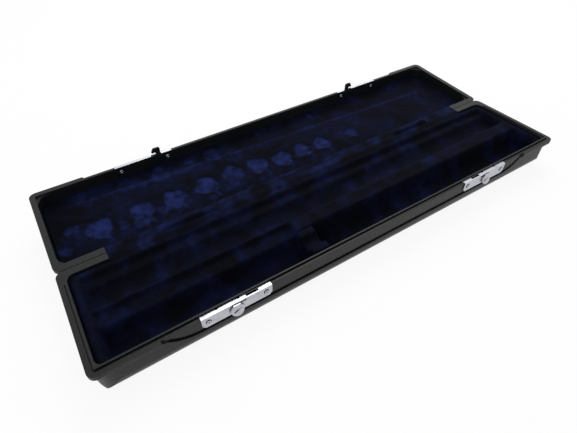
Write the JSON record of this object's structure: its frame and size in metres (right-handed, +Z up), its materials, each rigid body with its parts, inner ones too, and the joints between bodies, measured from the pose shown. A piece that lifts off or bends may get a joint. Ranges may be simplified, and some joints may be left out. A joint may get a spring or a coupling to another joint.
{
  "type": "flute case",
  "caption": "Moulded clamshell case for a three-piece flute, with a velvet bed, a padded rear-hinged lid and two side-sliding latches.",
  "frame": {"origin": "centre of the base's flat underside, which rests on the table", "axes": "+X along the case, from the left end to the right end as seen from the latch side; +Y from the latches to the hinges and the open lid; +Z up"},
  "size_m": [0.4, 0.1694, 0.0377],
  "materials": {
    "shell": "black moulded plastic with a fine leather grain",
    "velvet": "dark navy velvet over padding",
    "board": "plain fibreboard, hidden under the velvet",
    "nickel": "satin nickel-plated steel",
    "hook_steel": "dark blued steel"
  },
  "bodies": {
    "base": {"base_shell": "shell", "bed_board": "board", "base_liner": "velvet", "joint_block": "velvet", "base_hinge_velvet": "velvet", "left_latch_plate": "nickel", "right_latch_plate": "nickel", "left_latch_rivets": "nickel", "right_latch_rivets": "nickel", "left_hinge_base_leaf": "nickel", "right_hinge_base_leaf": "nickel", "left_hinge_pin": "hook_steel", "right_hinge_pin": "hook_steel", "left_hinge_base_rivets": "nickel", "right_hinge_base_rivets": "nickel"},
    "lid": {"lid_shell": "shell", "lid_pad": "velvet", "lid_hinge_velvet": "velvet", "left_keeper_plate": "nickel", "right_keeper_plate": "nickel", "left_hook": "hook_steel", "right_hook": "hook_steel", "left_keeper_rivets": "nickel", "right_keeper_rivets": "nickel", "left_hinge_lid_leaf": "nickel", "right_hinge_lid_leaf": "nickel", "left_hinge_lid_rivets": "nickel", "right_hinge_lid_rivets": "nickel"},
    "left_slider": {"left_slider": "nickel"},
    "right_slider": {"right_slider": "nickel"}
  },
  "joints": [
    {"name": "lid_hinge", "type": "hinge", "parent": "base", "child": "lid", "pos_m": [0, 0.04205, 0.026], "axis": [1, 0, 0], "range_deg": [0, 176.2]},
    {"name": "left_latch_slide", "type": "slide", "parent": "base", "child": "left_slider", "axis": [1, 0, 0], "range_m": [0, 0.004]},
    {"name": "right_latch_slide", "type": "slide", "parent": "base", "child": "right_slider", "axis": [-1, 0, 0], "range_m": [0, 0.004]}
  ]
}
